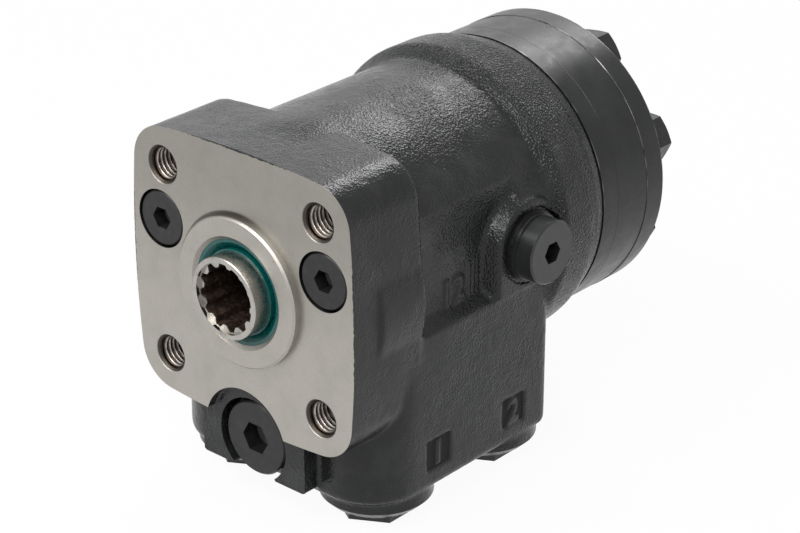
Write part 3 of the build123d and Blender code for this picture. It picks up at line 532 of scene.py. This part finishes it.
def thread_finish():
    """Bright thread crests over dark, oily roots, with painted shade deeper in the hole."""
    f = Finish("thread_steel", STEEL, 0.28, 1.0)
    x, y, z = f.axes()
    dx = f.math("SUBTRACT", f.math("ABSOLUTE", x), COLUMN_HALF)
    dz = f.math("SUBTRACT", f.math("ABSOLUTE", z), COLUMN_HALF)
    oily_root_and_shade = f.ramp(f.distance(dx, dz), 4.35, 4.75)
    # painted shade: darker deeper into the hole
    oily_root_and_shade = f.most(oily_root_and_shade, f.ramp(y, 2.5, 9.0, 0.0, 0.75))
    stained = f.mix(f.ramp(f.noise(1.5, 4.0), 0.4, 0.7), STEEL, STAINED_STEEL)
    f.color(f.mix(oily_root_and_shade, stained, THREAD_OIL_AND_SHADE))
    f.rough(f.ramp(f.noise(0.8, 3.0), 0.3, 0.7, 0.24, 0.42))
    f.normal(f.bump(f.noise(0.4, 3.0), 0.015))
    return f.material


def rubber_finish(name, base, roughness=0.42, specular=0.5):
    f = Finish(name, base, roughness, specular=specular)
    f.color(f.mix(f.ramp(f.noise(3.0, 3.0), 0.4, 0.8), base, times_color(base, 0.7)))
    f.rough(f.ramp(f.noise(2.0, 3.0), 0.3, 0.7, roughness - 0.06, roughness + 0.1))
    f.normal(f.bump(f.noise(0.7, 3.0), 0.02))
    return f.material


def plain_metal(name, base, roughness=0.35, metallic=1.0):
    f = Finish(name, base, roughness, metallic)
    f.color(f.mix(f.ramp(f.noise(2.0, 4.0), 0.4, 0.8), base, times_color(base, 0.75)))
    f.rough(f.ramp(f.noise(1.2, 3.0), 0.3, 0.7, roughness - 0.05, roughness + 0.08))
    f.normal(f.bump(f.noise(0.5, 3.0), 0.01))
    return f.material


def dress(node, material):
    obj = nodes[node]
    obj.data.materials.clear()
    obj.data.materials.append(material)


# The helical threads in the column holes

THREAD_PITCH = 1.5
THREAD_OUTER = 4.99
THREAD_ROOT = 4.91
THREAD_INNER = 4.2
THREAD_START = 0.7
THREAD_LENGTH = 14.5
THREAD_AROUND = 48
THREAD_ROWS = int(THREAD_LENGTH / THREAD_PITCH * 10)


def thread_radius(depth, turn):
    """The thread's inside radius at a depth, at a share of a full turn."""
    phase = (depth / THREAD_PITCH - turn) % 1
    crest = max(0.0, min(1.0, 1.6 * (1 - abs(2 * phase - 1)) - 0.3))
    crest *= min(1.0, depth / THREAD_PITCH)
    return THREAD_ROOT - (THREAD_ROOT - THREAD_INNER) * crest


def thread_points(x, z):
    """Rows of points down the waved inside, then the two rings of the plain outside."""
    points = []
    for row in range(THREAD_ROWS + 1):
        depth = THREAD_LENGTH * row / THREAD_ROWS
        for k in range(THREAD_AROUND):
            angle = 2 * math.pi * k / THREAD_AROUND
            r = thread_radius(depth, k / THREAD_AROUND)
            points.append((x + r * math.sin(angle), THREAD_START + depth, z + r * math.cos(angle)))
    for depth in (0, THREAD_LENGTH):
        for k in range(THREAD_AROUND):
            angle = 2 * math.pi * k / THREAD_AROUND
            points.append((x + THREAD_OUTER * math.sin(angle), THREAD_START + depth,
                           z + THREAD_OUTER * math.cos(angle)))
    return points


def thread_faces():
    around = THREAD_AROUND
    last = THREAD_ROWS * around
    front = last + around
    back = front + around
    faces = []
    for row in range(THREAD_ROWS):
        for k in range(around):
            a, b = row * around + k, row * around + (k + 1) % around
            faces.append((a, b, b + around, a + around))
    for k in range(around):
        n = (k + 1) % around
        faces.append((front + k, front + n, n, k))
        faces.append((last + k, last + n, back + n, back + k))
        faces.append((front + k, back + k, back + n, front + n))
    return faces


def thread_insert(name, x, z, material):
    """The helical thread in a tapped hole, as a closed sleeve with a waved inside."""
    mesh = bpy.data.meshes.new(name)
    mesh.from_pydata([tuple(c * MM for c in point) for point in thread_points(x, z)], [], thread_faces())
    work = bmesh.new()
    work.from_mesh(mesh)
    bmesh.ops.recalc_face_normals(work, faces=work.faces)
    work.to_mesh(mesh)
    work.free()
    mesh.polygons.foreach_set("use_smooth", [True] * len(mesh.polygons))
    mesh.materials.append(material)
    obj = bpy.data.objects.new(name, mesh)
    bpy.context.scene.collection.objects.link(obj)
    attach(obj, "housing")


# The housing's skin: the CAD housing with the soft corners and the rough surface of a casting

VOXEL = 0.55
SOFTENING = 3
SOFTENING_SHARE = 0.7
BORDER_ROUNDS = 4      # how softly the cast share runs out beside machined parts
SKIN_LUMPS = 0.05
LUMP_SIZE = 2.6
FRONT_CUT = 2.6        # the CAD's own machined ends lie before and behind these
REAR_CUT = 103.6
CUT_MARGIN = 0.8
EDGE_REACH = 0.34      # a machined point this near a sharp edge goes on it
EDGE_STEP = 0.12
SHARP = math.radians(34)
SMOOTH_ANGLE = math.radians(40)
JOIN = 1e-6            # metres, for points that coincide
EASE_HALF = 12.0       # half the width over which the barrel rises out of the flange's side
POCKET_X = 37.0
POCKET_MARK = (46.2, -4.2, "12")
POCKET_MARK_BOX = (49.0, 7.8, -3.0, 6.0)   # middle and half size in y, and in z
POCKET_RIBS = [52.6, 54.3, 56.0]
POCKET_RIB_Z = -3.2
POCKET_RIB_SIZE = (0.9, 0.7, 10.5)
PANEL_BORDER = 1.2
MARK_KEEP = 0.85       # how much of the softening the raised marks are spared
DIGIT_HEIGHT = 7.2
DIGIT_RAISED = 0.75
DIGIT_WEIGHT = 0.22

# Radii within which the skin keeps the machined surface, with how far that reaches
MAIN_BORE_KEEP = 25
COLUMN_KEEP, COLUMN_KEEP_Y = 6.6, 24
SHOCK_KEEP, SHOCK_KEEP_Y = 9.3, 45
RELIEF_KEEP, RELIEF_KEEP_Y = 13.3, 50
SENSE_BORE_KEEP, SENSE_BORE_X = 12.2, 15
SENSE_FACE_KEEP, SENSE_FACE_DEPTH = 19, 0.5
PORT_BORE_KEEP, PORT_BORE_Z = 11.2, -2
PORT_FACE_KEEP, PORT_FACE_Z = 17, -64
SENSE_SIDE_R = (13.0, 20)    # the boss's side, which is smoothed once more
SENSE_SIDE_X = (34, SENSE_FACE_X - 0.9)


def points_of(mesh):
    """A mesh's points as rows, in the mesh's own unit."""
    co = np.empty(len(mesh.vertices) * 3)
    mesh.vertices.foreach_get("co", co)
    return co.reshape(-1, 3)


def edges_of(mesh):
    """The indices of the two ends of each edge, as two lists."""
    ends = np.empty(len(mesh.edges) * 2, int)
    mesh.edges.foreach_get("vertices", ends)
    return ends.reshape(-1, 2).T


def normals_of(mesh):
    normals = np.empty(len(mesh.vertices) * 3)
    mesh.vertices.foreach_get("normal", normals)
    return normals.reshape(-1, 3)


def put_points(mesh, co):
    mesh.vertices.foreach_set("co", (co * MM).ravel())
    mesh.update()


def machined(co):
    """True where a point of the housing is machined and stays as it is in the CAD."""
    x, y, z = co[:, 0], co[:, 1], co[:, 2]
    keep = (y < FRONT_CUT + CUT_MARGIN) | (y > REAR_CUT - CUT_MARGIN)
    keep |= np.hypot(x, z) < MAIN_BORE_KEEP
    for px, pz in COLUMN_HOLES:
        keep |= (np.hypot(x - px, z - pz) < COLUMN_KEEP) & (y < COLUMN_KEEP_Y)
    for px, pz in SHOCKS:
        keep |= (np.hypot(x - px, z - pz) < SHOCK_KEEP) & (y < SHOCK_KEEP_Y)
    keep |= (np.hypot(x - RELIEF[0], z - RELIEF[1]) < RELIEF_KEEP) & (y < RELIEF_KEEP_Y)
    sense_r = np.hypot(y - SENSE[0], z - SENSE[1])
    keep |= (sense_r < SENSE_BORE_KEEP) & (x > SENSE_BORE_X)
    keep |= (sense_r < SENSE_FACE_KEEP) & (x > SENSE_FACE_X - SENSE_FACE_DEPTH)
    for px, py in PORTS:
        port_r = np.hypot(x - px, y - py)
        keep |= (port_r < PORT_BORE_KEEP) & (z < PORT_BORE_Z)
        keep |= (port_r < PORT_FACE_KEEP) & (z < PORT_FACE_Z)
    return keep


def marked(co):
    """True near the raised digits and their panels, which stay fairly sharp."""
    x, y, z = co[:, 0], co[:, 1], co[:, 2]
    half_y, half_z = (size / 2 + PANEL_BORDER for size in BLOCK_PANEL_SIZE)
    mid_y, reach_y, mid_z, reach_z = POCKET_MARK_BOX
    near = (x > POCKET_X - 1) & (np.abs(y - mid_y) < reach_y) & (np.abs(z - mid_z) < reach_z)
    for py, pz, _ in BLOCK_PANELS:
        near |= (np.abs(y - py) < half_y) & (np.abs(z - pz) < half_z) & (x > BLOCK_PANEL_X - 2.5)
    return near


def sense_side(co):
    """True on the side of the load-sensing boss."""
    r = np.hypot(co[:, 1] - SENSE[0], co[:, 2] - SENSE[1])
    low, high = SENSE_SIDE_R
    start, end = SENSE_SIDE_X
    return (r > low) & (r < high) & (co[:, 0] > start) & (co[:, 0] < end)


def smoothed(co, a, b, share, rounds):
    """Moves points towards the mean of their neighbours, by their share."""
    count = np.bincount(a, minlength=len(co)) + np.bincount(b, minlength=len(co))
    for _ in range(rounds):
        for axis in range(co.shape[1]):
            value = co[:, axis]
            total = np.bincount(a, value[b], len(co)) + np.bincount(b, value[a], len(co))
            co[:, axis] = value + share * (total / np.maximum(count, 1) - value)
    return co


def centred(mesh):
    """Moves a mesh so that the middle of its box is at the origin."""
    co = points_of(mesh)
    low, high = Vector(co.min(axis=0)), Vector(co.max(axis=0))
    mesh.transform(Matrix.Translation(-(low + high) / 2))


def raised_digits(work, text, y, z, x):
    """Adds digits that face +X, centred at y and z and standing on a floor at x."""
    curve = bpy.data.curves.new("digits", "FONT")
    curve.body = text
    curve.size = DIGIT_HEIGHT / 0.7
    curve.extrude = DIGIT_RAISED
    curve.offset = DIGIT_WEIGHT
    curve.align_x = "CENTER"
    curve.align_y = "CENTER"
    obj = bpy.data.objects.new("digits", curve)
    bpy.context.scene.collection.objects.link(obj)
    bpy.context.view_layer.update()
    mesh = bpy.data.meshes.new_from_object(obj.evaluated_get(bpy.context.evaluated_depsgraph_get()))
    centred(mesh)
    turn = Matrix(((0, 0, 1), (1, 0, 0), (0, 1, 0))).to_4x4()
    mesh.transform(Matrix.Scale(MM, 4) @ Matrix.Translation((x, y, z)) @ turn)
    work.from_mesh(mesh)
    bpy.data.objects.remove(obj)
    bpy.data.meshes.remove(mesh)


def add_marks(work):
    """Adds the raised digits of the panels and the pocket, and the pocket's ribs."""
    for y, z, text in BLOCK_PANELS:
        raised_digits(work, text, y, z, BLOCK_PANEL_X)
    y, z, text = POCKET_MARK
    raised_digits(work, text, y, z, POCKET_X)
    for y in POCKET_RIBS:
        place = Matrix.Translation(Vector((POCKET_X, y, POCKET_RIB_Z)) * MM)
        size = Matrix.Diagonal((*(side * MM for side in POCKET_RIB_SIZE), 1))
        bmesh.ops.create_cube(work, size=1, matrix=place @ size)


def remeshed_housing():
    """The CAD housing with its raised marks, as one even mesh."""
    mesh = nodes["housing"].data.copy()
    obj = bpy.data.objects.new("housing_casting", mesh)
    bpy.context.scene.collection.objects.link(obj)
    work = bmesh.new()
    work.from_mesh(mesh)
    add_marks(work)
    bmesh.ops.remove_doubles(work, verts=work.verts, dist=JOIN)
    work.to_mesh(mesh)
    work.free()
    change = obj.modifiers.new("remesh", "REMESH")
    change.mode = "VOXEL"
    change.voxel_size = VOXEL * MM
    bpy.context.view_layer.update()
    made = bpy.data.meshes.new_from_object(obj.evaluated_get(bpy.context.evaluated_depsgraph_get()))
    obj.modifiers.clear()
    obj.data = made
    return obj


def housing_copy():
    """The CAD housing as a closed working mesh."""
    work = bmesh.new()
    work.from_mesh(nodes["housing"].data)
    bmesh.ops.remove_doubles(work, verts=work.verts, dist=JOIN)
    return work


def sharp_edge_points(work):
    """Points closely spaced along a mesh's sharp edges."""
    found = []
    for edge in work.edges:
        if len(edge.link_faces) != 2 or edge.calc_face_angle(0) < SHARP:
            continue
        start, end = (v.co / MM for v in edge.verts)
        steps = max(1, int((end - start).length / EDGE_STEP))
        found += [start.lerp(end, k / steps) for k in range(steps + 1)]
    return found


def snapped(co, keep):
    """Puts the machined points back on the CAD housing, and those by a sharp edge on the edge."""
    work = housing_copy()
    surface = BVHTree.FromBMesh(work)
    points = sharp_edge_points(work)
    work.free()
    edges = kdtree.KDTree(len(points))
    for index, point in enumerate(points):
        edges.insert(point, index)
    edges.balance()
    for index in np.nonzero(keep)[0]:
        point, _, away = edges.find(co[index])
        if away > EDGE_REACH:
            point = surface.find_nearest(Vector(co[index]) * MM)[0] / MM
        co[index] = point
    return co


def eased(co):
    """Lets the barrel rise out of the flange's bowed top and -X side without a step."""
    for axis, sign, other in ((2, 1, 0), (0, -1, 2)):
        side = FLANGE_HALF - co[:, other] ** 2 / BOW
        proud = sign * co[:, axis] - side
        near = (proud > 0) & (np.abs(co[:, other]) < EASE_HALF)
        near &= (co[:, 1] > BARREL_START / 2) & (co[:, 1] < FLANGE_DEPTH)
        run = np.clip((co[:, 1] - BARREL_START) / (FLANGE_DEPTH - BARREL_START), 0, 1)
        rise = run * run * (3 - 2 * run)
        co[:, axis] -= np.where(near, sign * proud * (1 - rise), 0)
    return co


def lumped(mesh, co, share):
    """Raises and lowers cast points a little along the mesh's normals."""
    lumps = np.array([noise.fractal(Vector(p) / LUMP_SIZE, 0.8, 2.0, 3) for p in co])
    return co + normals_of(mesh) * (SKIN_LUMPS * lumps * share)[:, None]


def inside_housing_box(co):
    own = points_of(nodes["housing"].data) / MM
    return np.clip(co, own.min(axis=0), own.max(axis=0))


def cut(work, y, keep_rear):
    """Cuts a mesh across at y and keeps what lies behind the cut, or before it."""
    bmesh.ops.bisect_plane(work, geom=work.verts[:] + work.edges[:] + work.faces[:],
                           plane_co=(0, y * MM, 0), plane_no=(0, 1, 0),
                           clear_inner=keep_rear, clear_outer=not keep_rear)


def add_machined_ends(mesh):
    """Swaps the two ends of the skin for the CAD housing's exact ones."""
    work = bmesh.new()
    work.from_mesh(mesh)
    cut(work, FRONT_CUT, True)
    cut(work, REAR_CUT, False)
    for y, keep_rear in ((FRONT_CUT, False), (REAR_CUT, True)):
        end = housing_copy()
        cut(end, y, keep_rear)
        end_mesh = bpy.data.meshes.new("end")
        end.to_mesh(end_mesh)
        end.free()
        if "custom_normal" in end_mesh.attributes:
            end_mesh.attributes.remove(end_mesh.attributes["custom_normal"])
        work.from_mesh(end_mesh)
        bpy.data.meshes.remove(end_mesh)
    work.to_mesh(mesh)
    work.free()


def shape_skin(mesh):
    """Softens and roughens the cast part of the skin, and keeps the machined part exact."""
    co = points_of(mesh) / MM
    a, b = edges_of(mesh)
    keep = machined(co)
    cast = 1.0 - keep
    soft = cast * (1 - MARK_KEEP * marked(co))
    share = smoothed(soft[:, None].copy(), a, b, 0.5 * cast, BORDER_ROUNDS)[:, 0] * cast
    co = snapped(co, keep)
    co = smoothed(eased(co), a, b, SOFTENING_SHARE * share, SOFTENING)
    co = smoothed(co, a, b, 0.6 * share * sense_side(co), 4)
    put_points(mesh, co)
    put_points(mesh, inside_housing_box(lumped(mesh, co, share)))


def casting(material):
    obj = remeshed_housing()
    mesh = obj.data
    shape_skin(mesh)
    add_machined_ends(mesh)
    mesh.polygons.foreach_set("use_smooth", [True] * len(mesh.polygons))
    mesh.set_sharp_from_angle(angle=SMOOTH_ANGLE)
    mesh.materials.clear()
    mesh.materials.append(material)
    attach(obj, "housing")
    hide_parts("housing")


# Building the scene

make_camera()
make_world()
make_floor()
make_lights()

steel = steel_finish()
FINISHES = {
    "black_paint": satin_finish("satin_paint", PAINT_SPECULAR),
    "machined_steel": steel,
    "bright_steel": steel,
    "black_oxide": oxide_finish(),
    "grey_steel": plain_metal("grey_steel", (0.3, 0.3, 0.31)),
    "teal_rubber": rubber_finish("teal_rubber", (0.0, 0.085, 0.078), 0.26),
    "black_rubber": rubber_finish("black_rubber", (0.02, 0.02, 0.02)),
    "cage_brass": plain_metal("cage_brass", (0.6, 0.45, 0.2)),
    "copper_washer": plain_metal("dark_washer", (0.03, 0.03, 0.031), 0.3, 0.5),
    "black_plastic": rubber_finish("black_plastic", (0.013, 0.013, 0.014), 0.38),
}
for row in frame["record"]["subparts"]:
    dress(row["node"], FINISHES[row["material_slot"]])
dress("spool", spool_finish())
dress("load_sense_plug", satin_finish("plug_paint", 0.6))

casting(cast_finish())
threads = thread_finish()
for number, (hole_x, hole_z) in enumerate(COLUMN_HOLES):
    thread_insert(f"column_thread_{number}", hole_x, hole_z, threads)
